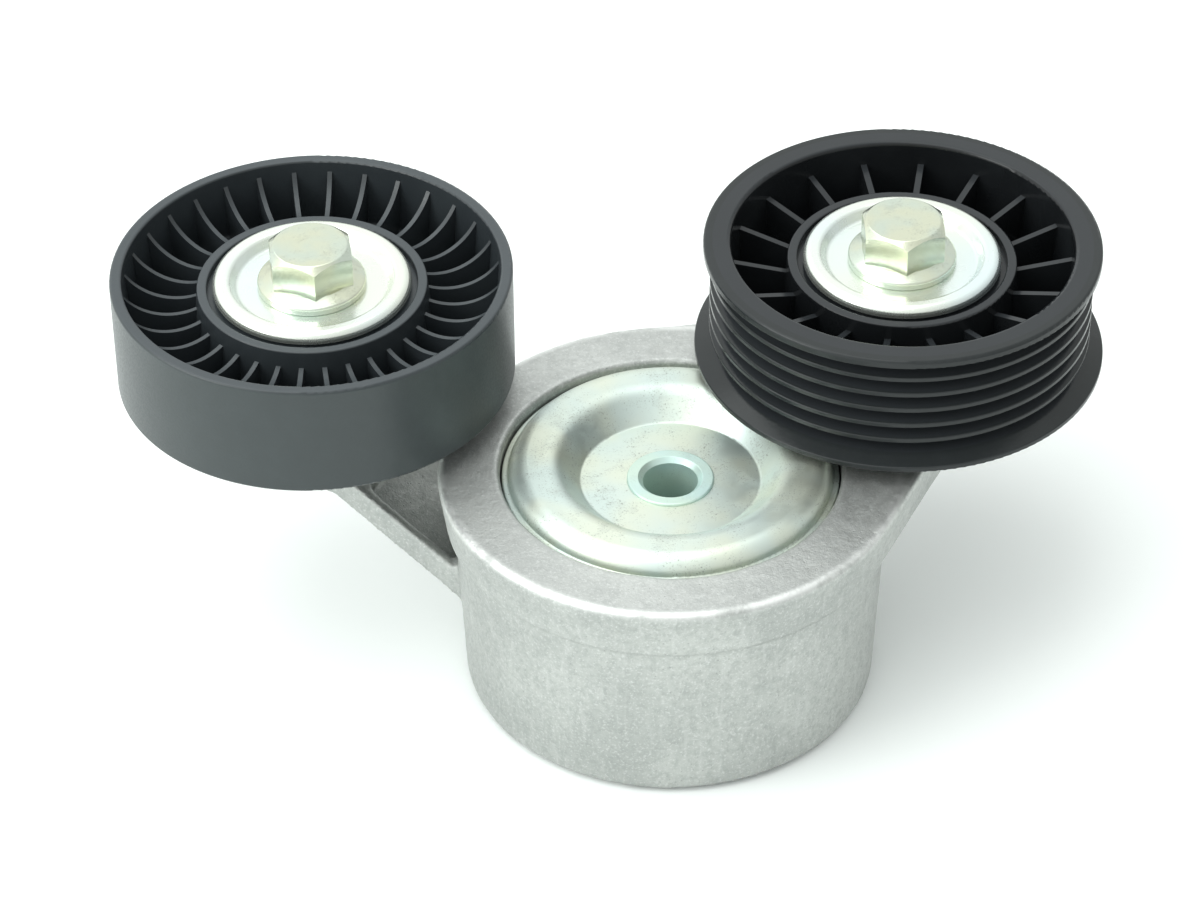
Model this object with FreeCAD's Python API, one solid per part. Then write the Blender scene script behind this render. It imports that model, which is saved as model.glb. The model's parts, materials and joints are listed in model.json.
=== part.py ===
import FreeCAD, Part
import math
import os

# Dual-arm automatic belt tensioner.
# A spring cup with two arms, cast in one piece, turns about a fixed centre tube.
# The left arm carries a smooth idler pulley, the right arm a six-groove ribbed one.
# Millimetres. The origin is on the pivot axis in the mounting face, with +Z towards the cap.

# ---------------------------------------------------------------- fits
press_gap = 0.02        # radial gap of a pressed, moulded-in or threaded pair
running_gap = 0.06      # radial gap of a bush or a raceway
loose_gap = 0.3         # gap between curved faces that only pass each other

# ---------------------------------------------------------------- layout
pulley_clearance = 3.32     # between the ring's top and the ribbed pulley's lower flange
smooth_reach = 72.0     # pivot axis to smooth pulley axis
smooth_heading = 159.2  # degrees from +X
ribbed_reach = 54.9
ribbed_heading = 36.0

# ---------------------------------------------------------------- cast cup, ring and hub
cup_outer_r = 39.3      # at the rim
cup_draft = 1.6         # radius gained from the rim up to the ring
cup_wall = 3.6
cup_rim = 0.8           # the cup's rim clears the mounting face by this
cup_rim_round = 0.8
cup_root_round = 1.6
cup_flare = 0.55        # cone from the cup's wall out to the ring
ring_top = 47.3
ring_height = 10.8
ring_overhang = 4.7     # the ring's top edge outside the cup's rim
ring_land = 12.0        # width of the ring's flat top
ring_draft = 1.5
ring_edge_round = 1.3
ring_foot_round = 0.6
recess_edge_round = 0.7
recess_floor_round = 0.5
cavity_round = 2.0
hub_end_round = 0.5
recess_depth = 5.9
web_thickness = 4.4
hub_wall = 3.2

# ---------------------------------------------------------------- arms
boss_r = 10.5           # round the bolt, from the arm up to the rear dust shield
boss_chamfer = 0.6
ribbed_plate_r = 17.6   # end radius of the ribbed pulley's arm, flush with the ring's top
plate_wall = 3.2
plate_skin = 4.0
spoke_width = 2.2       # ribs from the plate's wall to its boss, on the underside
spoke_spread = 70.0     # degrees between the spokes
smooth_end_r = 12.0     # end radius of the smooth pulley's arm
smooth_side_swing = 82.7    # from the arm's heading to each side's normal
smooth_root = 16.5      # height of the arm's underside where it leaves the cup
smooth_root_reach = 36.7
smooth_knee_reach = 64.0    # the arm climbs as far as this, and runs level from there
smooth_climb = 15.8
smooth_height = 6.6
smooth_floor = 2.6
smooth_wall = 2.4
smooth_pocket_end = 57.5    # reach of the pocket's outer end
pocket_round = 3.0

# ---------------------------------------------------------------- centre tube, base and cap
bore_r = 5.2            # clearance hole for the M10 mounting bolt
tube_wall = 3.0
tube_stand = 0.5        # the tube's end above the cap's floor
tube_mouth = 0.9        # countersink at the bore's mouth, wide and deep
tube_mouth_round = 0.2
tube_edge_round = 0.3
post_wall = 3.8
base_thickness = 6.0
base_edge_round = 0.6
post_end_round = 0.5
dowel_r = 4.0           # locating hole in the mounting face
dowel_depth = 4.5
dowel_reach = 22.0
dowel_heading = 250.0
cap_sheet = 1.8
cap_gap = 1.5           # open gap between the cap's crest and the ring
cap_foot = 1.0          # thickness of the narrow foot that nearly closes the gap
cap_foot_round = 0.3
cap_bend_shift = 0.4    # inner bends of the sheet outside the outer ones, in sheets
cap_floor_margin = 5.0  # the cap's flat floor outside the pivot post
cap_floor_lift = 0.7    # from the hub's end to the cap's underside
cap_slope_run = 5.0
cap_crest = 4.9         # crest above the cap's floor
cap_edge_round = 3.6
cap_crest_round = 4.4
cap_floor_round = 0.8
bushing_wall = 2.5
lower_washer_thickness = 2.0
upper_washer_thickness = 3.0
upper_washer_margin = 4.4   # the washer's opening outside the cap's floor
damper_wall = 2.45
damper_height = 8.0
damper_lift = 0.2       # above the cup's rim
damper_heading = 60.0
damper_opening = 24.0   # degrees left open in the damping ring

# ---------------------------------------------------------------- travel stop and spring
travel = 38.0           # degrees from the free stop to the load stop
stop_width = 20.0       # degrees
stop_heading = 200.0    # middle of the base's stop lug
stop_height = 4.0       # how far the lug reaches into the hub
stop_play = 1.0         # degrees left at each end of the travel
spring_wire_r = 2.6
spring_turns = 3.5
spring_head_room = 3.45     # over the top coil
spring_start_heading = -17.0
spring_lug_width = 14.0     # degrees
spring_lug_play = 3.0       # degrees between a lug and the wire's centre line end

# ---------------------------------------------------------------- pulleys
track_r = 38.0
track_width = 23.14
track_rim = 2.3
ribbed_width = 24.76
upper_flange_r = 37.85
lower_flange_r = 39.3
ridge_r = 36.5
groove_depth = 2.7
groove_pitch = 3.56
groove_count = 6
groove_root = 0.7       # width of a groove's floor
groove_half_angle = 20.0
groove_round = 0.25
ribbed_rim_r = 32.6
pulley_lip_gap = 2.4    # the hub's upper lip outside the bearing
pulley_hub_wall = 1.9
pulley_hub_width = 16.8
rim_draft = 1.0
web_round = 0.8         # fillets where a pulley's web meets its rim and hub
hub_edge_round = 0.35
track_edge_round = 0.6
inner_edge_round = 0.5
flange_edge_round = 0.3
ribbed_rim_round = 0.8
rib_bite = 0.9          # how far a rib runs into the hub
rib_rim_bite = 0.5      # and into the rim
web_top = -2.0          # from the belt plane
pulley_web = 3.0
smooth_rib_count = 32
smooth_rib_phase = 8.4
smooth_rib_thickness = 0.9
smooth_rib_dip = 3.6
smooth_rib_drop = 1.2       # a rib's top below the rim's edge
smooth_rib_hub_height = 5.6
smooth_rear_drop = 2.0      # the same two measures on the rear face
smooth_rear_hub_drop = 4.0
ribbed_rib_count = 18
ribbed_rib_phase = 0.0
ribbed_rib_thickness = 1.2
ribbed_rib_drop = 4.4
ribbed_rib_hub_height = 5.3
ribbed_rear_drop = 3.0
ribbed_rear_hub_drop = 5.0

# ---------------------------------------------------------------- bearings (15 x 35 x 14)
bearing_bore_r = 7.5
bearing_outer_r = 17.5
bearing_width = 14.0
ball_share = 0.3        # ball radius, as a share of the bearing's section
land_share = 0.26       # thickness of each ring, the same way
ball_count = 8
seal_thickness = 1.3
seal_inset = 0.3
seal_seat = 0.8
cage_play = 1.2         # between the cage and each ring's land
cage_back = 1.0

# ---------------------------------------------------------------- dust shields and bolts
shield_sheet = 1.1
shield_overlap = 1.3    # the shield's edge outside the bearing
shield_rise = 1.95
shield_slope_run = 1.4
shield_rim_width = 3.1
shield_skirt = 0.9      # the skirt's lower edge above the bearing's face
shield_bend_shift = 0.7     # inner bends of the sheet outside the outer ones
shield_inner_round = 0.4
shield_floor_round = 0.8
shield_rim_round = 1.0
shield_edge_round = 1.5
shield_lip_round = 0.2
bolt_r = 5.0
bolt_length = 32.0
bolt_flange_r = 10.3
bolt_flange_edge = 1.5
bolt_flange_cone = 1.1
bolt_flange_round = 0.6
bolt_seat_round = 0.3
bolt_cone_share = 0.9   # cone's top radius, as a share of the hexagon's corner radius
bolt_neck_round = 0.5
bolt_head_height = 9.2
bolt_across_flats = 15.0
bolt_chamfer = 2.1
bolt_crown = 0.5        # flat top's edge inside the flats
bolt_tip = 0.9
smooth_bolt_turn = 8.0  # where each hexagon stopped when it was tightened
ribbed_bolt_turn = 2.0
bolt_hole_clearance = 0.1

# ---------------------------------------------------------------- worked out once
UP = FreeCAD.Vector(0, 0, 1)
CENTRE = FreeCAD.Vector(0, 0, 0)
belt_plane = ring_top + pulley_clearance + ribbed_width / 2
step_z = ring_top - ring_height
recess_floor = ring_top - recess_depth
web_underside = recess_floor - web_thickness
cup_inner_r = cup_outer_r - cup_wall
ring_outer_r = cup_outer_r + ring_overhang
recess_r = ring_outer_r - ring_land
tube_outer_r = bore_r + tube_wall
post_r = tube_outer_r + post_wall
base_r = cup_inner_r - damper_wall - loose_gap - loose_gap / 2
bushing_inner_r = post_r + running_gap
bushing_outer_r = bushing_inner_r + bushing_wall
hub_bore_r = bushing_outer_r + press_gap
hub_r = hub_bore_r + hub_wall
hub_bottom = base_thickness + lower_washer_thickness
cap_r = recess_r - cap_gap
cap_foot_r = recess_r - loose_gap
cap_floor_r = post_r + cap_floor_margin
cap_skirt_z = recess_floor + upper_washer_thickness
cap_floor_z = recess_floor + cap_floor_lift + cap_sheet
upper_washer_inner_r = cap_floor_r + upper_washer_margin
pitch_r = (bearing_bore_r + bearing_outer_r) / 2
ball_r = ball_share * (bearing_outer_r - bearing_bore_r)
race_wall = land_share * (bearing_outer_r - bearing_bore_r)
cage_wall = bearing_outer_r - bearing_bore_r - 2 * race_wall - 2 * cage_play
half_bearing = bearing_width / 2
pulley_hub_lip_r = bearing_outer_r + pulley_lip_gap
pulley_hub_r = pulley_hub_lip_r + pulley_hub_wall
shield_r = bearing_outer_r + shield_overlap
shield_floor_r = shield_r - shield_rim_width - shield_slope_run
sleeve_bore_r = bolt_r + bolt_hole_clearance
spring_r = (hub_r + cup_inner_r) / 2
spring_start = base_thickness + spring_wire_r + loose_gap
spring_height = web_underside - spring_head_room - spring_wire_r - spring_start


def place(reach, heading):
    """The point in plan at a distance and a heading from the pivot axis."""
    angle = math.radians(heading)
    return (reach * math.cos(angle), reach * math.sin(angle))


smooth_axis = place(smooth_reach, smooth_heading)
ribbed_axis = place(ribbed_reach, ribbed_heading)


# ---------------------------------------------------------------- drawing helpers
def toward(start, end, distance):
    """The point a distance from start on the way to end."""
    length = math.dist(start, end)
    return (start[0] + (end[0] - start[0]) * distance / length,
            start[1] + (end[1] - start[1]) * distance / length)


def rounded_wire(corners, lift):
    """Closed outline through corners (a, b, radius), each one rounded by its radius."""
    count = len(corners)
    spans = []
    for i, (a, b, radius) in enumerate(corners):
        here = (a, b)
        before = corners[i - 1][:2]
        after = corners[(i + 1) % count][:2]
        if radius == 0:
            spans.append((here, None, here))
            continue
        back_angle = math.atan2(before[1] - b, before[0] - a)
        next_angle = math.atan2(after[1] - b, after[0] - a)
        half = abs((next_angle - back_angle + math.pi) % (2 * math.pi) - math.pi) / 2
        reach = radius / math.tan(half)
        start = toward(here, before, reach)
        end = toward(here, after, reach)
        middle = ((start[0] + end[0]) / 2, (start[1] + end[1]) / 2)
        crown = radius / math.sin(half) - radius
        spans.append((start, toward(here, middle, crown), end))
    edges = []
    for i, (start, crown, end) in enumerate(spans):
        if crown is not None:
            edges.append(Part.Arc(lift(start), lift(crown), lift(end)).toShape())
        following = spans[(i + 1) % count][0]
        if math.dist(end, following) > 1e-6:
            edges.append(Part.makeLine(lift(end), lift(following)))
    return Part.Wire(edges)


def turned(corners):
    """Solid of revolution about Z from an outline of (radius, height, rounding) corners."""
    outline = rounded_wire(corners, lambda p: FreeCAD.Vector(p[0], 0, p[1]))
    return Part.Face(outline).revolve(CENTRE, UP, 360)


def slab(corners, low, high):
    """Upright prism on an outline of (x, y, rounding) corners."""
    outline = rounded_wire(corners, lambda p: FreeCAD.Vector(p[0], p[1], low))
    return Part.Face(outline).extrude(FreeCAD.Vector(0, 0, high - low))


def disc(radius, low, high, centre=(0, 0)):
    """Upright cylinder between two heights."""
    return Part.makeCylinder(radius, high - low, FreeCAD.Vector(centre[0], centre[1], low), UP)


def tube(outer_r, inner_r, low, high, centre=(0, 0)):
    """Upright tube between two heights."""
    return disc(outer_r, low, high, centre).cut(disc(inner_r, low, high, centre))


def sector(radius, low, high, first, last):
    """Pie slice about the pivot axis, from one heading to another."""
    slice_ = Part.makeCylinder(radius, high - low, FreeCAD.Vector(0, 0, low), UP, last - first)
    return slice_.rotate(CENTRE, UP, first)


def mirrored(shape):
    """The same piece turned upside down about the belt plane."""
    return shape.mirror(CENTRE, UP)


def polar(shape, count, first):
    """Copies of a piece spread evenly round Z."""
    copies = []
    for i in range(count):
        copies.append(shape.copy().rotate(CENTRE, UP, first + 360.0 * i / count))
    return copies


# ---------------------------------------------------------------- arm and cup casting
def side_corner(normal, distance, along):
    """A point on the side whose normal has a heading, at a place along that side."""
    angle = math.radians(normal)
    return (distance * math.cos(angle) - along * math.sin(angle),
            distance * math.sin(angle) + along * math.cos(angle))


def side_distance(axis, normal, end_r):
    """How far from the pivot a side lies that is tangent to an arm's round end."""
    angle = math.radians(normal)
    return axis[0] * math.cos(angle) + axis[1] * math.sin(angle) + end_r


def hull_wire(big_r, small_r, height):
    """Plan of the ring and the ribbed pulley's arm: two circles joined by their tangents."""
    swing = math.degrees(math.acos((big_r - small_r) / ribbed_reach))
    first = ribbed_heading - swing
    second = ribbed_heading + swing
    points = []
    for centre, radius, heading in ((CENTRE, big_r, second), (CENTRE, big_r, ribbed_heading + 180),
                                    (CENTRE, big_r, first), (ribbed_axis, small_r, first),
                                    (ribbed_axis, small_r, ribbed_heading),
                                    (ribbed_axis, small_r, second)):
        x, y = place(radius, heading)
        points.append(FreeCAD.Vector(centre[0] + x, centre[1] + y, height))
    return Part.Wire([
        Part.Arc(points[0], points[1], points[2]).toShape(),
        Part.makeLine(points[2], points[3]),
        Part.Arc(points[3], points[4], points[5]).toShape(),
        Part.makeLine(points[5], points[0]),
    ])


def deck():
    """Ring and ribbed pulley's arm in one plate, hollowed from below round the arm's boss."""
    low_ring_r = ring_outer_r - ring_draft
    low_plate_r = ribbed_plate_r - ring_draft
    plate = Part.makeLoft([hull_wire(low_ring_r, low_plate_r, step_z),
                           hull_wire(ring_outer_r, ribbed_plate_r, ring_top)], True, True)
    rims = [e for e in plate.Edges if e.BoundBox.ZMin > ring_top - 0.01]
    plate = plate.makeFillet(ring_edge_round, rims)
    feet = [e for e in plate.Edges if e.BoundBox.ZMax < step_z + 0.01]
    plate = plate.makeFillet(ring_foot_round, feet)
    inner = hull_wire(low_ring_r - plate_wall, low_plate_r - plate_wall, step_z - 1)
    pocket = Part.Face(inner).extrude(FreeCAD.Vector(0, 0, ring_height - plate_skin + 1))
    pocket = pocket.cut(disc(ring_outer_r, step_z - 2, ring_top))
    pocket = pocket.cut(disc(boss_r, step_z - 2, ring_top, ribbed_axis))
    spoke = Part.makeBox(2 * ribbed_plate_r, spoke_width, ring_height,
                         FreeCAD.Vector(0, -spoke_width / 2, step_z))
    for i in (-1, 0, 1):
        rib = spoke.copy().rotate(CENTRE, UP, ribbed_heading + i * spoke_spread)
        pocket = pocket.cut(rib.translate(FreeCAD.Vector(*ribbed_axis, 0)))
    return plate.cut(pocket)


def arm_plan(end_r, low, high):
    """Upright block over the smooth pulley's arm: sides that are tangent to its round end."""
    first = smooth_heading - smooth_side_swing
    second = smooth_heading + smooth_side_swing
    first_d = side_distance(smooth_axis, first, end_r)
    second_d = side_distance(smooth_axis, second, end_r)
    turn = math.radians(second - first)
    along = (second_d - first_d * math.cos(turn)) / math.sin(turn)
    tip = side_corner(first, first_d, along)
    return slab([tip + (end_r,), side_corner(second, second_d, 0) + (0,),
                 side_corner(first, first_d, 0) + (0,)], low, high)


def climbing_slab(rise, height):
    """Slab that climbs along the smooth arm and then runs level, seen from the side."""
    knee = smooth_root + smooth_climb
    slope = smooth_climb / (smooth_knee_reach - smooth_root_reach)
    start = smooth_root_reach / 2
    low = smooth_root - slope * (smooth_root_reach - start)
    end = smooth_reach + 2 * smooth_end_r
    outline = [(start, low), (smooth_knee_reach, knee), (end, knee)]
    points = [(s, z + rise) for s, z in outline]
    points += [(s, z + rise + height) for s, z in reversed(outline)]
    width = 2 * ring_outer_r
    wire = Part.makePolygon([FreeCAD.Vector(s, -width / 2, z) for s, z in points + points[:1]])
    body = Part.Face(wire).extrude(FreeCAD.Vector(0, width, 0))
    return body.rotate(CENTRE, UP, smooth_heading)


def smooth_arm():
    """Arm that climbs from the cup's wall to its boss, with a pocket between two walls."""
    arm = arm_plan(smooth_end_r, 0, ring_top).common(climbing_slab(0, smooth_height))
    pocket = arm_plan(smooth_end_r - smooth_wall, 0, ring_top)
    pocket = pocket.common(climbing_slab(smooth_floor, smooth_height))
    stop = Part.makeBox(smooth_reach, 2 * ring_outer_r, ring_top,
                        FreeCAD.Vector(smooth_pocket_end, -ring_outer_r, 0))
    pocket = pocket.cut(stop.rotate(CENTRE, UP, smooth_heading))
    corners = [e for e in pocket.Edges if is_pocket_corner(e)]
    return arm.cut(pocket.makeFillet(pocket_round, corners))


def is_pocket_corner(edge):
    """Whether an edge is one of the two upright corners at the pocket's outer end."""
    ends = [v.Point for v in edge.Vertexes]
    if len(ends) != 2:
        return False
    flat = math.dist((ends[0].x, ends[0].y), (ends[1].x, ends[1].y))
    angle = math.radians(smooth_heading)
    reach = ends[0].x * math.cos(angle) + ends[0].y * math.sin(angle)
    return flat < 0.01 and abs(reach - smooth_pocket_end) < 0.01


def cup():
    """Outside of the spring cup, up to the ring's underside."""
    return turned([
        (0, cup_rim, 0),
        (cup_outer_r, cup_rim, cup_rim_round),
        (cup_outer_r + cup_draft, step_z - cup_flare, cup_root_round),
        (cup_outer_r + cup_draft + cup_flare, step_z, 0),
        (cup_outer_r, step_z + cup_flare, 0),
        (0, step_z + cup_flare, 0),
    ])


def cup_cavity():
    """Room for the spring: round the hub and below it."""
    return turned([
        (0, cup_rim - 1, 0),
        (cup_inner_r, cup_rim - 1, 0),
        (cup_inner_r, web_underside, cavity_round),
        (hub_r, web_underside, cavity_round),
        (hub_r, hub_bottom, hub_end_round),
        (0, hub_bottom, 0),
    ])


def cap_recess():
    """Round recess in the ring's top, with a rounded edge."""
    return turned([
        (0, recess_floor, 0),
        (recess_r, recess_floor, recess_floor_round),
        (recess_r, ring_top, recess_edge_round),
        (recess_r + 2, ring_top, 0),
        (recess_r + 2, ring_top + 2, 0),
        (0, ring_top + 2, 0),
    ])


def arm_housing():
    """One die casting: spring cup, ring, both arms and both bolt bosses."""
    body = cup().fuse([deck(), smooth_arm()])
    boss_top = belt_plane - half_bearing - shield_sheet
    knee = smooth_root + smooth_climb
    for axis, low in ((smooth_axis, knee), (ribbed_axis, step_z)):
        boss = disc(boss_r, low, boss_top, axis)
        rim = [e for e in boss.Edges if e.BoundBox.ZMin > boss_top - 0.01]
        body = body.fuse(boss.makeChamfer(boss_chamfer, rim))
    for axis in (smooth_axis, ribbed_axis):
        body = body.cut(disc(bolt_r + press_gap, 0, boss_top + 1, axis))
    body = body.cut([cup_cavity(), cap_recess(), disc(hub_bore_r, 0, ring_top)])
    spring_end = spring_start_heading - 360.0 * spring_turns
    lug_low = spring_start + spring_height - spring_wire_r / 2
    lug = sector(cup_inner_r + 1, lug_low, web_underside + 1,
                 spring_end - spring_lug_width - spring_lug_play, spring_end - spring_lug_play)
    body = body.fuse(lug.cut(disc(hub_r + 3, 0, ring_top)))
    return body.cut(travel_slot()).removeSplitter()


def travel_slot():
    """Slot in the hub and its bush, in which the base's stop lug sets the travel."""
    return sector(hub_r + 1, hub_bottom - 1, hub_bottom + stop_height,
                  stop_heading - stop_width / 2 - travel - stop_play,
                  stop_heading + stop_width / 2 + stop_play)


# ---------------------------------------------------------------- base, tube and cap
def base_plate():
    """Cast foot with the pivot post, the travel stop, a spring lug and a locating hole."""
    post_top = cap_floor_z - cap_sheet
    body = turned([
        (tube_outer_r + press_gap, 0, 0),
        (base_r, 0, base_edge_round),
        (base_r, base_thickness, base_edge_round),
        (post_r, base_thickness, 0),
        (post_r, post_top, post_end_round),
        (tube_outer_r + press_gap, post_top, 0),
    ])
    lug = sector(hub_r, base_thickness - 1, hub_bottom + stop_height - loose_gap,
                 stop_heading - stop_width / 2, stop_heading + stop_width / 2)
    body = body.fuse(lug.cut(disc(post_r - 1, 0, ring_top)))
    seat_first = spring_start_heading + spring_lug_play
    seat = sector(base_r - 1, base_thickness - 1, base_thickness + 2 * spring_wire_r + loose_gap,
                  seat_first, seat_first + spring_lug_width)
    body = body.fuse(seat.cut(disc(hub_r + 1, 0, ring_top)))
    dowel = place(dowel_reach, dowel_heading)
    return body.cut(disc(dowel_r, -1, dowel_depth, dowel)).removeSplitter()


def pivot_tube():
    """Steel sleeve that the mounting bolt clamps, with a countersunk mouth."""
    top = cap_floor_z + tube_stand
    return turned([
        (bore_r, 0, 0),
        (tube_outer_r, 0, tube_edge_round),
        (tube_outer_r, top, tube_edge_round),
        (bore_r + tube_mouth, top, tube_mouth_round),
        (bore_r, top - tube_mouth, 0),
    ])


def front_cap():
    """Pressed dish: flat floor, sloping wall, round crest, a short skirt and a narrow foot."""
    low = cap_floor_z - cap_sheet
    crest = cap_floor_z + cap_crest
    hole = tube_outer_r + press_gap
    slope_r = cap_floor_r + cap_slope_run
    shift = cap_bend_shift * cap_sheet
    return turned([
        (hole, low, 0),
        (cap_floor_r + shift, low, cap_floor_round + cap_sheet),
        (slope_r + shift, crest - cap_sheet, cap_crest_round - cap_sheet),
        (cap_r - cap_sheet, crest - cap_sheet, cap_edge_round - cap_sheet),
        (cap_r - cap_sheet, cap_skirt_z, 0),
        (cap_foot_r, cap_skirt_z, 0),
        (cap_foot_r, cap_skirt_z + cap_foot, cap_foot_round),
        (cap_r, cap_skirt_z + cap_foot, cap_foot_round),
        (cap_r, crest, cap_edge_round),
        (slope_r, crest, cap_crest_round),
        (cap_floor_r, cap_floor_z, cap_floor_round),
        (hole, cap_floor_z, 0),
    ])


def upper_washer():
    """Plastic friction washer between the cap's skirt and the casting's recess."""
    return tube(recess_r - 2 * loose_gap, upper_washer_inner_r, recess_floor, cap_skirt_z)


def lower_washer():
    """Plastic thrust washer under the hub, open where the travel stop stands."""
    ring = tube(hub_r, post_r + loose_gap, base_thickness, hub_bottom)
    half = stop_width / 2 + 2
    return ring.cut(sector(hub_r + 1, 0, hub_bottom + 1, stop_heading - half, stop_heading + half))


def pivot_bushing():
    """Plain bush between the pivot post and the casting's hub."""
    return tube(bushing_outer_r, bushing_inner_r, hub_bottom, recess_floor).cut(travel_slot())


def damping_ring():
    """Open plastic ring round the base, which rubs on the cup's wall."""
    low = cup_rim + damper_lift
    outer_r = cup_inner_r - loose_gap
    ring = tube(outer_r, outer_r - damper_wall, low, low + damper_height)
    opening = sector(cup_outer_r, 0, ring_top, damper_heading, damper_heading + damper_opening)
    return ring.cut(opening)


def torsion_spring():
    """Round-wire torsion spring between the base's lug and the casting's lug."""
    pitch = spring_height / spring_turns
    path = Part.Wire([Part.makeHelix(pitch, spring_height, spring_r)])
    section = Part.Wire([Part.makeCircle(spring_wire_r, FreeCAD.Vector(spring_r, 0, 0),
                                         FreeCAD.Vector(0, 1, 0))])
    coil = path.makePipeShell([section], True, True).mirror(CENTRE, FreeCAD.Vector(0, 1, 0))
    coil = coil.rotate(CENTRE, UP, spring_start_heading)
    return coil.translate(FreeCAD.Vector(0, 0, spring_start))


# ---------------------------------------------------------------- pulleys, from the belt plane
def pulley_hub_corners():
    """The hub's part of a pulley's outline, from its upper web corner to its lower one."""
    half = pulley_hub_width / 2
    bore = bearing_outer_r + press_gap
    foot = pulley_hub_r + web_round
    return [
        (foot, web_top, web_round),
        (pulley_hub_r, half, hub_edge_round),
        (pulley_hub_lip_r, half, hub_edge_round),
        (pulley_hub_lip_r, half_bearing, 0),
        (bore, half_bearing, 0),
        (bore, -half_bearing, 0),
        (pulley_hub_lip_r, -half_bearing, 0),
        (pulley_hub_lip_r, -half, hub_edge_round),
        (pulley_hub_r, -half, hub_edge_round),
        (foot, web_top - pulley_web, web_round),
    ]


def radial_rib(outer_r, rim_height, dip, hub_height, thickness, foot):
    """Upright rib from the hub to the rim; its top edge is an arc, or straight without a dip."""
    inner_r = pulley_hub_r - rib_bite
    ends = [(inner_r, foot), (outer_r, foot), (outer_r, rim_height), (inner_r, hub_height)]
    points = [FreeCAD.Vector(r, -thickness / 2, z) for r, z in ends]
    if dip:
        middle = FreeCAD.Vector((inner_r + outer_r) / 2, -thickness / 2,
                                (rim_height + hub_height) / 2 - dip)
        top = Part.Arc(points[2], middle, points[3]).toShape()
    else:
        top = Part.makeLine(points[2], points[3])
    edges = [Part.makeLine(points[0], points[1]), Part.makeLine(points[1], points[2]),
             top, Part.makeLine(points[3], points[0])]
    return Part.Face(Part.Wire(edges)).extrude(FreeCAD.Vector(0, thickness, 0))


def smooth_pulley():
    """Plain drum pulley with a thin rim and many curved ribs."""
    half = track_width / 2
    rim = track_r - track_rim
    body = turned([
        (track_r, half, track_edge_round),
        (rim, half, inner_edge_round),
        (rim - rim_draft, web_top, web_round),
    ] + pulley_hub_corners() + [
        (rim - rim_draft, web_top - pulley_web, web_round),
        (rim, -half, inner_edge_round),
        (track_r, -half, track_edge_round),
    ])
    upper = radial_rib(rim + rib_rim_bite, half - smooth_rib_drop, smooth_rib_dip,
                       smooth_rib_hub_height, smooth_rib_thickness, web_top - 1)
    lower = radial_rib(rim + rib_rim_bite, -half + smooth_rear_drop, 0,
                       -half + smooth_rear_hub_drop, smooth_rib_thickness,
                       web_top - pulley_web + 1)
    ribs = polar(upper, smooth_rib_count, smooth_rib_phase)
    ribs += polar(lower, smooth_rib_count // 2, smooth_rib_phase)
    return body.fuse(ribs).removeSplitter()


def groove_corners():
    """Outer outline of the ribbed pulley, from its lower flange up to its upper one."""
    slope = math.tan(math.radians(groove_half_angle))
    half = ribbed_width / 2
    root_r = ridge_r - groove_depth
    mouth = groove_root / 2 + groove_depth * slope
    corners = [(lower_flange_r, -half, flange_edge_round)]
    for i in range(groove_count):
        middle = groove_pitch * (i - (groove_count - 1) / 2)
        if i == 0:
            flange = (lower_flange_r - root_r) * slope
            foot = middle - groove_root / 2 - flange
            corners.append((lower_flange_r, foot, flange_edge_round))
        else:
            corners.append((ridge_r, middle - mouth, groove_round))
        corners.append((root_r, middle - groove_root / 2, groove_round))
        corners.append((root_r, middle + groove_root / 2, groove_round))
        if i == groove_count - 1:
            flange = (upper_flange_r - root_r) * slope
            foot = middle + groove_root / 2 + flange
            corners.append((upper_flange_r, foot, flange_edge_round))
        else:
            corners.append((ridge_r, middle + mouth, groove_round))
    corners.append((upper_flange_r, half, track_edge_round))
    return corners


def ribbed_pulley():
    """Six-groove pulley with two flanges and straight ribs."""
    half = ribbed_width / 2
    rim = ribbed_rim_r
    body = turned(groove_corners() + [
        (rim, half, ribbed_rim_round),
        (rim - rim_draft, web_top, web_round),
    ] + pulley_hub_corners() + [
        (rim - rim_draft, web_top - pulley_web, web_round),
        (rim, -half, ribbed_rim_round),
    ])
    upper = radial_rib(rim + rib_rim_bite, half - ribbed_rib_drop, 0,
                       ribbed_rib_hub_height, ribbed_rib_thickness, web_top - 1)
    lower = radial_rib(rim + rib_rim_bite, -half + ribbed_rear_drop, 0,
                       -half + ribbed_rear_hub_drop, ribbed_rib_thickness,
                       web_top - pulley_web + 1)
    ribs = polar(upper, ribbed_rib_count, ribbed_rib_phase)
    ribs += polar(lower, ribbed_rib_count // 2, ribbed_rib_phase)
    return body.fuse(ribs).removeSplitter()


# ---------------------------------------------------------------- bearing, from the belt plane
def raceway():
    """The ring of space that the balls roll through."""
    return Part.makeTorus(pitch_r, ball_r + running_gap)


def outer_race():
    """Outer ring with a raceway and a seat for a seal at each end."""
    land = bearing_outer_r - race_wall
    ring = tube(bearing_outer_r, land, -half_bearing, half_bearing).cut(raceway())
    depth = seal_thickness + seal_inset
    for low in (-half_bearing, half_bearing - depth):
        ring = ring.cut(disc(land + seal_seat, low, low + depth))
    return ring


def inner_race():
    """Inner ring with a raceway."""
    land = bearing_bore_r + race_wall
    return tube(land, bearing_bore_r, -half_bearing, half_bearing).cut(raceway())


def bearing_seal():
    """Rubber seal held by the outer ring, clear of the inner one."""
    outer = bearing_outer_r - race_wall + seal_seat - press_gap
    inner = bearing_bore_r + race_wall + loose_gap
    top = half_bearing - seal_inset
    return tube(outer, inner, top - seal_thickness, top)


def bearing_balls():
    """One set of balls."""
    ball = Part.makeSphere(ball_r, FreeCAD.Vector(pitch_r, 0, 0))
    return Part.makeCompound(polar(ball, ball_count, 0))


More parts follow.
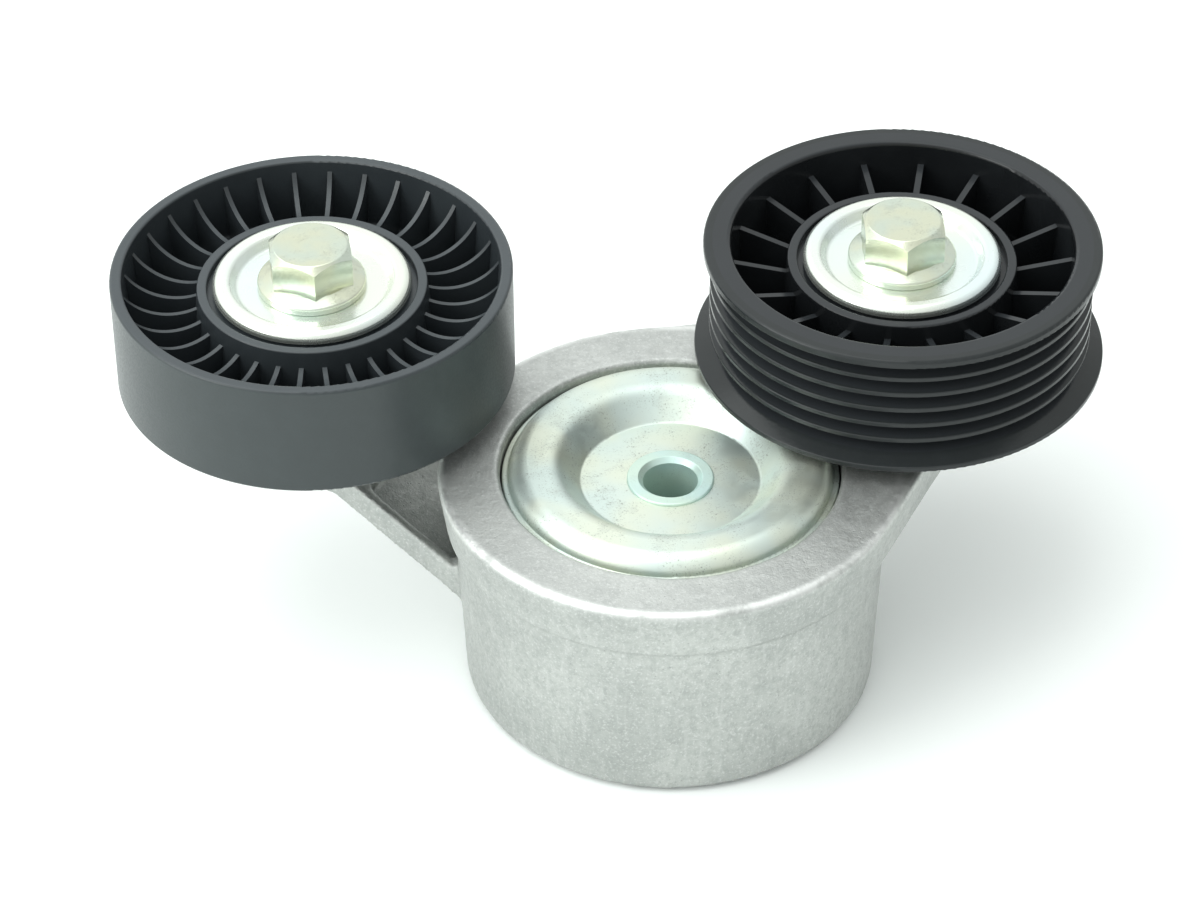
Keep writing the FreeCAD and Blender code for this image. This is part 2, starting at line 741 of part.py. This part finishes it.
def ball_cage():
    """Crown cage, closed on one side of the balls."""
    back = ball_r + running_gap + cage_back
    ring = tube(pitch_r + cage_wall / 2, pitch_r - cage_wall / 2, -ball_r / 2, back)
    pocket = Part.makeSphere(ball_r + running_gap, FreeCAD.Vector(pitch_r, 0, 0))
    return ring.cut(polar(pocket, ball_count, 0))


def bearing_sleeve():
    """Spacer that brings the bearing's bore down to the bolt."""
    return tube(bearing_bore_r - press_gap, sleeve_bore_r, -half_bearing, half_bearing)


def dust_shield():
    """Pressed shield lying on the inner ring, with a raised rolled rim."""
    low = half_bearing
    top = low + shield_sheet
    rim_r = shield_r - shield_rim_width
    return turned([
        (sleeve_bore_r, low, 0),
        (shield_floor_r + shield_bend_shift, low, shield_inner_round),
        (rim_r + shield_bend_shift, low + shield_rise, shield_inner_round),
        (shield_r - shield_sheet, low + shield_rise, shield_inner_round),
        (shield_r - shield_sheet, low + shield_skirt, 0),
        (shield_r, low + shield_skirt, shield_lip_round),
        (shield_r, top + shield_rise, shield_edge_round),
        (rim_r, top + shield_rise, shield_rim_round),
        (shield_floor_r, top, shield_floor_round),
        (sleeve_bore_r, top, 0),
    ])


def flange_bolt(turn):
    """Hexagon flange bolt, clamping both shields, the sleeve and the inner ring to the arm."""
    seat = half_bearing + shield_sheet
    top = seat + bolt_head_height
    corner_r = bolt_across_flats / 2 / math.cos(math.radians(30))
    cone_top = seat + bolt_flange_edge + bolt_flange_cone
    flange = turned([
        (0, seat, 0),
        (bolt_flange_r, seat, bolt_seat_round),
        (bolt_flange_r, seat + bolt_flange_edge, bolt_flange_round),
        (bolt_cone_share * corner_r, cone_top, bolt_neck_round),
        (0, cone_top, 0),
    ])
    points = []
    for i in range(7):
        angle = math.radians(60 * i + turn - 90)
        points.append(FreeCAD.Vector(corner_r * math.cos(angle), corner_r * math.sin(angle), seat))
    hexagon = Part.Face(Part.makePolygon(points)).extrude(FreeCAD.Vector(0, 0, bolt_head_height))
    dome = turned([
        (0, seat, 0),
        (corner_r + 1, seat, 0),
        (corner_r + 1, top - bolt_chamfer, 0),
        (bolt_across_flats / 2 - bolt_crown, top, bolt_crown),
        (0, top, 0),
    ])
    shank = turned([
        (0, seat - bolt_length, 0),
        (bolt_r - bolt_tip, seat - bolt_length, 0),
        (bolt_r, seat - bolt_length + bolt_tip, 0),
        (bolt_r, seat + 1, 0),
        (0, seat + 1, 0),
    ])
    return flange.fuse([hexagon.common(dome), shank]).removeSplitter()


def roller(name, axis, pulley, turn):
    """Every piece of one pulley station, moved to its axis at the belt plane."""
    pieces = {
        "pulley": pulley,
        "outer_race": outer_race(),
        "front_seal": bearing_seal(),
        "rear_seal": mirrored(bearing_seal()),
        "bearing_balls": bearing_balls(),
        "ball_cage": ball_cage(),
        "inner_race": inner_race(),
        "bearing_sleeve": bearing_sleeve(),
        "front_dust_shield": dust_shield(),
        "rear_dust_shield": mirrored(dust_shield()),
        "flange_bolt": flange_bolt(turn),
    }
    spot = FreeCAD.Vector(axis[0], axis[1], belt_plane)
    return {name + "_" + key: shape.translate(spot) for key, shape in pieces.items()}


def build():
    """All pieces by node name."""
    nodes = {
        "arm_housing": arm_housing(),
        "base_plate": base_plate(),
        "pivot_tube": pivot_tube(),
        "front_cap": front_cap(),
        "upper_friction_washer": upper_washer(),
        "lower_thrust_washer": lower_washer(),
        "pivot_bushing": pivot_bushing(),
        "damping_ring": damping_ring(),
        "torsion_spring": torsion_spring(),
    }
    nodes.update(roller("smooth", smooth_axis, smooth_pulley(), smooth_bolt_turn))
    nodes.update(roller("ribbed", ribbed_axis, ribbed_pulley(), ribbed_bolt_turn))
    return nodes


os.makedirs("parts", exist_ok=True)
for node, shape in build().items():
    print(node, len(shape.Solids), shape.isValid(), round(shape.Volume, 1))
    shape.exportStep(os.path.join("parts", node + ".step"))
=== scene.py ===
import json
import math

import bpy
from mathutils import Matrix, Vector, noise


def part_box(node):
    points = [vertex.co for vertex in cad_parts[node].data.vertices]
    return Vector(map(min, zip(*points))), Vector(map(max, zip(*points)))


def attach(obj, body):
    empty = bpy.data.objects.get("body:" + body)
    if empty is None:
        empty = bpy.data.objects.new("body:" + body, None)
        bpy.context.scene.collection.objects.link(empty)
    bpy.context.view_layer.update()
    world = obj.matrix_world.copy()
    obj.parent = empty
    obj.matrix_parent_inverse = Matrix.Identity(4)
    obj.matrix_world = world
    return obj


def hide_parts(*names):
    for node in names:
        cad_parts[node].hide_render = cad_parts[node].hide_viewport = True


# The looks of a dual-arm belt tensioner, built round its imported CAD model. Metres.
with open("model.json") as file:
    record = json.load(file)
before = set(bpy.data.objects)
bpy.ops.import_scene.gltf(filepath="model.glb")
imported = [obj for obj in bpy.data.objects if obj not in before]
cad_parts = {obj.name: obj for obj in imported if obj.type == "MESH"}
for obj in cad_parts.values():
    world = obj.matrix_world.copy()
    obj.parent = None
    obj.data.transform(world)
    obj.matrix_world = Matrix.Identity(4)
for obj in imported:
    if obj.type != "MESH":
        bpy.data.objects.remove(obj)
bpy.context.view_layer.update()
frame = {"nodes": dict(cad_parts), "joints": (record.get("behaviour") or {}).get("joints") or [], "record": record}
nodes = frame["nodes"]
MM = 0.001

joint_at = {j["name"]: Vector(j["pos_m"]) for j in frame["joints"]}
smooth_axis = joint_at["smooth_pulley_spin"]
ribbed_axis = joint_at["ribbed_pulley_spin"]
ring_r = -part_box("arm_housing")[0].y
ring_top = 47.3 * MM    # the ring's flat top, above the mounting face

# ---------------------------------------------------------------- settings
CAMERA_AIM = Vector((-13.2, 13.7, 40.0)) * MM
CAMERA_DISTANCE = 0.8164
CAMERA_ELEVATION = math.radians(38.68)
CAMERA_ROLL = math.radians(-0.4)
CAMERA_LENS = 128.16
CAMERA_SENSOR = 36.0
FLOOR_HALF = 6.0
SKY_BASE = 0.52
SKY = [
    # direction it comes from, share added there, how tight it is
    ((-0.9, -0.3, 0.35), 0.80, 2.5),
    ((0.0, 0.75, 0.65), 0.55, 3.0),
    ((0.1, -1.0, 0.3), 0.22, 2.0),
]
SKY_TINT = (0.965, 1.0, 0.985)
LIGHTS = [
    # name, place, size, power
    ("overhead", (-0.35, 0.10, 1.3), (1.4, 1.1), 6.0),
    ("left_window", (-1.3, -0.5, 0.9), (1.0, 0.8), 10.0),
]
LIGHT_TINT = (0.97, 1.0, 0.985)

TRACK_R = 38.0 * MM         # the smooth pulley's turned track
GROOVE_FLANK_R = 36.2 * MM  # ridges and flanges of the ribbed pulley lie outside this and get a painted highlight

VOXEL = 0.55 * MM           # remesh of the casting
SMOOTH_STEPS = 5
SWELL_BROAD = 0.07 * MM     # height of the casting's broad swells
SWELL_FINE = 0.035 * MM     # and of its fine ones
SWELL_INSET = 0.06 * MM     # how far the whole skin is drawn in to make room for them
BROAD_SCALE = 110           # swells per metre
FINE_SCALE = 420


# ---------------------------------------------------------------- camera, lights and floor
def studio():
    """Camera, soft lights and a pale floor."""
    camera_data = bpy.data.cameras.new("camera")
    camera_data.sensor_width = CAMERA_SENSOR
    camera_data.lens = CAMERA_LENS
    camera_data.clip_end = 20.0
    camera = bpy.data.objects.new("camera", camera_data)
    backwards = Vector((0, -math.cos(CAMERA_ELEVATION), math.sin(CAMERA_ELEVATION)))
    place = Matrix.Translation(CAMERA_AIM + backwards * CAMERA_DISTANCE)
    tilt = Matrix.Rotation(math.pi / 2 - CAMERA_ELEVATION, 4, "X")
    roll = Matrix.Rotation(CAMERA_ROLL, 4, "Z")
    camera.matrix_world = place @ tilt @ roll
    bpy.context.scene.collection.objects.link(camera)
    bpy.context.scene.camera = camera
    bpy.context.scene.world = white_room()
    for name, spot, size, power in LIGHTS:
        data = bpy.data.lights.new(name, "AREA")
        data.shape = "RECTANGLE"
        data.size, data.size_y = size
        data.energy = power
        data.color = LIGHT_TINT
        light = bpy.data.objects.new(name, data)
        light.location = spot
        light.rotation_euler = (Vector(spot) - CAMERA_AIM).to_track_quat("Z", "Y").to_euler()
        bpy.context.scene.collection.objects.link(light)

    mesh = bpy.data.meshes.new("floor")
    half = FLOOR_HALF
    mesh.from_pydata([(-half, -half, 0), (half, -half, 0), (half, half, 0), (-half, half, 0)], [],
                     [(0, 1, 2, 3)])
    floor = bpy.data.objects.new("floor", mesh)
    bpy.context.scene.collection.objects.link(floor)
    paper = bpy.data.materials.new("white_paper")
    paper.use_nodes = True
    shader = paper.node_tree.nodes["Principled BSDF"]
    shader.inputs["Base Color"].default_value = (0.95, 0.975, 0.965, 1)
    shader.inputs["Roughness"].default_value = 0.8
    shader.inputs["Specular IOR Level"].default_value = 0.2
    mesh.materials.append(paper)
    bpy.context.scene.view_settings.view_transform = "Standard"


def white_room():
    """Soft white surroundings, brightest to the left and high behind the part."""
    world = bpy.data.worlds.new("white_room")
    world.use_nodes = True
    tree = world.node_tree
    background = tree.nodes["Background"]
    direction = tree.nodes.new("ShaderNodeTexCoord").outputs["Generated"]
    total = None
    for towards, share, tightness in SKY:
        dot = tree.nodes.new("ShaderNodeVectorMath")
        dot.operation = "DOT_PRODUCT"
        tree.links.new(direction, dot.inputs[0])
        dot.inputs[1].default_value = Vector(towards).normalized()
        half = tree.nodes.new("ShaderNodeMath")
        half.operation = "MULTIPLY_ADD"
        tree.links.new(dot.outputs["Value"], half.inputs[0])
        half.inputs[1].default_value = 0.5
        half.inputs[2].default_value = 0.5
        tight = tree.nodes.new("ShaderNodeMath")
        tight.operation = "POWER"
        tree.links.new(half.outputs[0], tight.inputs[0])
        tight.inputs[1].default_value = tightness
        part = tree.nodes.new("ShaderNodeMath")
        part.operation = "MULTIPLY_ADD"
        tree.links.new(tight.outputs[0], part.inputs[0])
        part.inputs[1].default_value = share
        if total is None:
            part.inputs[2].default_value = SKY_BASE
        else:
            tree.links.new(total, part.inputs[2])
        total = part.outputs[0]
    tinted = tree.nodes.new("ShaderNodeVectorMath")
    tinted.operation = "SCALE"
    tinted.inputs[0].default_value = SKY_TINT
    tree.links.new(total, tinted.inputs["Scale"])
    tree.links.new(tinted.outputs[0], background.inputs["Color"])
    return world


# ---------------------------------------------------------------- material builder
class Surface:
    """One node material, built up from small procedural layers in object coordinates."""

    def __init__(self, name, metallic, ior=1.5):
        self.material = bpy.data.materials.new(name)
        self.material.use_nodes = True
        self.tree = self.material.node_tree
        self.shader = self.tree.nodes["Principled BSDF"]
        self.shader.inputs["Metallic"].default_value = metallic
        self.shader.inputs["IOR"].default_value = ior
        self.place = self.add("ShaderNodeTexCoord").outputs["Object"]

    def add(self, kind, **settings):
        node = self.tree.nodes.new(kind)
        for key, value in settings.items():
            setattr(node, key, value)
        return node

    def feed(self, socket, value):
        if isinstance(value, bpy.types.NodeSocket):
            self.tree.links.new(value, socket)
        else:
            socket.default_value = value

    def noise(self, size, detail=3.0, rough=0.55, stretch=None, seed=0.0):
        """Fractal noise whose features are about size metres across."""
        mapping = self.add("ShaderNodeMapping")
        self.feed(mapping.inputs["Vector"], self.place)
        mapping.inputs["Location"].default_value = (seed, seed * 0.7, seed * 1.3)
        if stretch:
            mapping.inputs["Scale"].default_value = stretch
        texture = self.add("ShaderNodeTexNoise")
        self.feed(texture.inputs["Vector"], mapping.outputs["Vector"])
        texture.inputs["Scale"].default_value = 0.6 / size
        texture.inputs["Detail"].default_value = detail
        texture.inputs["Roughness"].default_value = rough
        return texture.outputs["Fac"]

    def cells(self, size, seed=0.0):
        """Distance to the nearest of scattered points, about size metres apart, for pits."""
        mapping = self.add("ShaderNodeMapping")
        self.feed(mapping.inputs["Vector"], self.place)
        mapping.inputs["Location"].default_value = (seed, seed, seed)
        texture = self.add("ShaderNodeTexVoronoi")
        self.feed(texture.inputs["Vector"], mapping.outputs["Vector"])
        texture.inputs["Scale"].default_value = 1.0 / size
        return texture.outputs["Distance"]

    def math(self, operation, a, b=0.0):
        node = self.add("ShaderNodeMath", operation=operation)
        self.feed(node.inputs[0], a)
        self.feed(node.inputs[1], b)
        return node.outputs[0]

    def band(self, value, low, high, out_low=0.0, out_high=1.0):
        """Maps low..high to out_low..out_high with smooth ends."""
        node = self.add("ShaderNodeMapRange", interpolation_type="SMOOTHSTEP")
        for key, number in (("Value", value), ("From Min", low), ("From Max", high),
                            ("To Min", out_low), ("To Max", out_high)):
            self.feed(node.inputs[key], number)
        return node.outputs["Result"]

    def blend(self, share, first, second):
        """Colour between two colours."""
        node = self.add("ShaderNodeMix", data_type="RGBA")
        self.feed(node.inputs["Factor"], share)
        for socket, value in ((node.inputs[6], first), (node.inputs[7], second)):
            self.feed(socket, value + (1,) if isinstance(value, tuple) else value)
        return node.outputs[2]

    def axis(self, letter):
        split = self.add("ShaderNodeSeparateXYZ")
        self.feed(split.inputs[0], self.place)
        return split.outputs[letter]

    def radius(self, centre):
        """Distance from an upright axis through centre."""
        x = self.math("SUBTRACT", self.axis("X"), centre[0])
        y = self.math("SUBTRACT", self.axis("Y"), centre[1])
        return self.math("SQRT", self.math("ADD", self.math("MULTIPLY", x, x),
                                           self.math("MULTIPLY", y, y)))

    def facing_up(self):
        """How much the surface faces up, from its own normal."""
        split = self.add("ShaderNodeSeparateXYZ")
        self.feed(split.inputs[0], self.add("ShaderNodeNewGeometry").outputs["Normal"])
        return split.outputs["Z"]

    def colour(self, value):
        self.feed(self.shader.inputs["Base Color"], value)

    def roughness(self, value):
        self.feed(self.shader.inputs["Roughness"], value)

    def bump(self, height, depth, under=None):
        """Bump of a depth in metres; under is a bump below it."""
        node = self.add("ShaderNodeBump")
        node.inputs["Distance"].default_value = depth
        self.feed(node.inputs["Height"], height)
        if under is not None:
            self.feed(node.inputs["Normal"], under)
        self.feed(self.shader.inputs["Normal"], node.outputs["Normal"])
        return node.outputs["Normal"]


def near(s, value, middle, width):
    """1 where value is at middle, falling to 0 at width from it."""
    return s.band(s.math("ABSOLUTE", s.math("SUBTRACT", value, middle)), 0.0, width, 1.0, 0.0)


def cast_aluminium(name):
    """Grainy die-cast aluminium: mottled and pitted, with painted top light on upward faces and a rubbed rim on
    the ring.
    """
    s = Surface(name, 0.85)
    cloud = s.noise(14 * MM, 4.0, 0.6)
    mottle = s.noise(0.9 * MM, 5.0, 0.7, seed=3.0)
    grain = s.noise(0.3 * MM, 2.0, 0.7, seed=7.0)
    drag = s.noise(0.8 * MM, 3.0, 0.6, stretch=(1.0, 1.0, 0.12), seed=11.0)
    pits = s.cells(1.1 * MM, seed=5.0)
    base = s.blend(s.band(cloud, 0.32, 0.68), (0.40, 0.415, 0.40), (0.50, 0.515, 0.495))
    base = s.blend(s.math("MULTIPLY", s.band(mottle, 0.42, 0.68), 0.45), base, (0.33, 0.345, 0.335))
    base = s.blend(s.math("MULTIPLY", s.band(drag, 0.5, 0.75), 0.30), base, (0.62, 0.63, 0.615))
    base = s.blend(s.math("MULTIPLY", s.band(grain, 0.5, 0.72), 0.45), base, (0.72, 0.73, 0.72))
    dark = s.math("MULTIPLY", s.band(pits, 0.08, 0.18, 1.0, 0.0), s.band(cloud, 0.45, 0.6))
    base = s.blend(s.math("MULTIPLY", dark, 0.45), base, (0.20, 0.21, 0.205))
    # Painted top light: upward-facing surfaces are blended towards a paler colour.
    painted_top_light = s.math("MULTIPLY", s.band(s.facing_up(), 0.85, 0.99), 0.20)
    base = s.blend(painted_top_light, base, (0.78, 0.79, 0.785))
    rim = s.math("MULTIPLY", near(s, s.radius((0, 0)), ring_r - 0.9 * MM, 1.5 * MM),
                 near(s, s.axis("Z"), ring_top - 0.3 * MM, 1.3 * MM))
    rubbed = s.band(s.noise(3.5 * MM, 3.0, 0.6, seed=9.0), 0.30, 0.55, 0.15, 0.9)
    worn = s.math("MULTIPLY", rim, rubbed)
    s.colour(s.blend(worn, base, (0.82, 0.83, 0.815)))
    rough = s.band(mottle, 0.3, 0.7, 0.42, 0.56)
    s.roughness(s.math("SUBTRACT", rough, s.math("MULTIPLY", worn, 0.10)))
    fine = s.bump(grain, 0.05 * MM)
    s.bump(s.math("SUBTRACT", mottle, s.math("MULTIPLY", dark, 0.4)), 0.10 * MM, fine)
    return s.material


def zinc(name, tint, rough, stains, specks, drift_size=9.0, metallic=0.9):
    """Zinc plate with a faint colour drift, soft stains, fine grain and specks."""
    s = Surface(name, metallic)
    drift = s.noise(drift_size * MM, 2.0, 0.5)
    stain = s.noise(3.0 * MM, 4.0, 0.65, seed=13.0)
    peel = s.noise(0.2 * MM, 2.0, 0.6, seed=5.0)
    dots = s.noise(0.22 * MM, 3.0, 0.7, seed=2.0)
    warm = tuple(c * k for c, k in zip(tint, (1.02, 1.01, 0.93)))
    cool = tuple(c * k for c, k in zip(tint, (0.93, 0.99, 1.01)))
    base = s.blend(s.band(drift, 0.35, 0.65), warm, cool)
    base = s.blend(s.math("MULTIPLY", s.band(stain, 0.5, 0.75), stains), base,
                   tuple(c * 0.70 for c in tint))
    speckle = s.math("MULTIPLY", s.band(dots, 0.54, 0.70, 0.0, specks), s.band(stain, 0.40, 0.60))
    base = s.blend(speckle, base, (0.22, 0.23, 0.20))
    s.colour(base)
    s.roughness(s.band(stain, 0.3, 0.7, rough * 0.9, rough * 1.2))
    s.bump(peel, 0.012 * MM)
    return s.material


def moulded(name, dark, light, rough, top_light_share=0.25, turned_and_ridge_light=None, ior=1.5):
    """Glass-filled nylon, with painted top light making upper faces paler; the tuple argument is (axis, radius,
    colour) for the colour outside that radius: the smooth pulley's turned track, and a painted highlight on the
    ribbed pulley's ridges.
    """
    s = Surface(name, 0.0, ior)
    cloud = s.noise(9 * MM, 3.0, 0.55)
    grain = s.noise(0.28 * MM, 2.0, 0.6, seed=4.0)
    base = s.blend(s.band(cloud, 0.3, 0.7), dark, light)
    # Painted top light: upward-facing surfaces are blended towards a paler colour.
    base = s.blend(s.math("MULTIPLY", s.band(s.facing_up(), 0.6, 0.98), top_light_share), base,
                   tuple(c * 3.0 for c in light))
    if turned_and_ridge_light:
        # Outside the radius: the smooth pulley's turned track, and a painted highlight on the ribbed pulley's
        # ridges and flanges.
        axis, radius, tint = turned_and_ridge_light
        outside = s.band(s.radius(axis), radius - 0.3 * MM, radius)
        scuff = s.noise(2.5 * MM, 4.0, 0.65, seed=8.0)
        base = s.blend(outside, base,
                       s.blend(s.band(scuff, 0.35, 0.75), tint, tuple(c * 1.10 for c in tint)))
    s.colour(base)
    s.roughness(s.band(grain, 0.3, 0.7, rough * 0.88, rough * 1.15))
    s.bump(grain, 0.018 * MM)
    return s.material


def steel(name, tint, rough):
    """Ground steel with fine turning marks."""
    s = Surface(name, 1.0)
    marks = s.noise(0.4 * MM, 2.0, 0.6, stretch=(0.15, 0.15, 1.0))
    s.colour(s.blend(s.band(marks, 0.3, 0.7), tint, tuple(c * 0.85 for c in tint)))
    s.roughness(s.band(marks, 0.3, 0.7, rough * 0.8, rough * 1.2))
    s.bump(marks, 0.01 * MM)
    return s.material


def finishes():
    """One material for each of the record's slots."""
    black = (0.008, 0.009, 0.010), (0.012, 0.0135, 0.015)
    track = smooth_axis, TRACK_R, (0.030, 0.039, 0.041)
    # Painted highlight: the ribbed pulley's ridges and flanges are paler than its black body.
    ridge_highlight = ribbed_axis, GROOVE_FLANK_R, (0.020, 0.023, 0.024)
    return {
        "cast_aluminium": cast_aluminium("cast_aluminium"),
        "base_casting": cast_aluminium("base_casting"),
        "zinc_steel": zinc("zinc_steel", (0.60, 0.74, 0.71), 0.42, 0.3, 0.3, metallic=0.6),
        "cap_zinc": zinc("cap_zinc", (0.70, 0.75, 0.70), 0.42, 0.45, 0.8, metallic=0.85),
        "shield_zinc": zinc("shield_zinc", (0.80, 0.84, 0.83), 0.24, 0.1, 0.05, 20.0),
        "bolt_zinc": zinc("bolt_zinc", (0.64, 0.665, 0.57), 0.22, 0.35, 0.4, 5.0,
                          metallic=1.0),
        "bearing_steel": steel("bearing_steel", (0.62, 0.62, 0.63), 0.28),
        "ball_steel": steel("ball_steel", (0.80, 0.80, 0.81), 0.08),
        "spring_steel": steel("spring_steel", (0.20, 0.20, 0.21), 0.45),
        "smooth_pulley_plastic": moulded("smooth_pulley_plastic", (0.022, 0.027, 0.031),
                                         (0.028, 0.034, 0.038), 0.36, 0.3, track),
        "ribbed_pulley_plastic": moulded("ribbed_pulley_plastic", *black, 0.18, 0.55, ridge_highlight,
                                         1.36),
        "seal_rubber": moulded("seal_rubber", *black, 0.6),
        "bush_plastic": moulded("bush_plastic", *black, 0.5),
        "damper_plastic": moulded("damper_plastic", *black, 0.5),
        "cage_plastic": moulded("cage_plastic", (0.45, 0.38, 0.25), (0.55, 0.47, 0.32), 0.45, 0.0),
    }


# ---------------------------------------------------------------- cast arm
def cast_arm(material):
    """The arm casting with the soft corners and uneven skin of a die casting."""
    source = nodes["arm_housing"]
    mesh = source.data.copy()
    piece = bpy.data.objects.new("cast_arm", mesh)
    bpy.context.scene.collection.objects.link(piece)
    remesh = piece.modifiers.new("remesh", "REMESH")
    remesh.mode = "VOXEL"
    remesh.voxel_size = VOXEL
    remesh.use_smooth_shade = True
    smooth = piece.modifiers.new("smooth", "SMOOTH")
    smooth.factor = 0.5
    smooth.iterations = SMOOTH_STEPS
    evaluated = piece.evaluated_get(bpy.context.evaluated_depsgraph_get())
    baked = bpy.data.meshes.new_from_object(evaluated)
    piece.modifiers.clear()
    piece.data = baked
    piece.data.name = "cast_arm"
    for vertex, normal in zip(baked.vertices, [v.normal.copy() for v in baked.vertices]):
        broad = noise.noise(vertex.co * BROAD_SCALE) * SWELL_BROAD
        fine = noise.noise(vertex.co * FINE_SCALE) * SWELL_FINE
        vertex.co += normal * (broad + fine - SWELL_INSET)
    baked.materials.clear()
    baked.materials.append(material)
    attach(piece, "tension_arm")
    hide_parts("arm_housing")


studio()
looks = finishes()
slot_of = {p["node"]: p["material_slot"] for p in frame["record"]["subparts"]}
for node, part in nodes.items():
    part.data.materials.clear()
    part.data.materials.append(looks[slot_of[node]])
cast_arm(looks["cast_aluminium"])
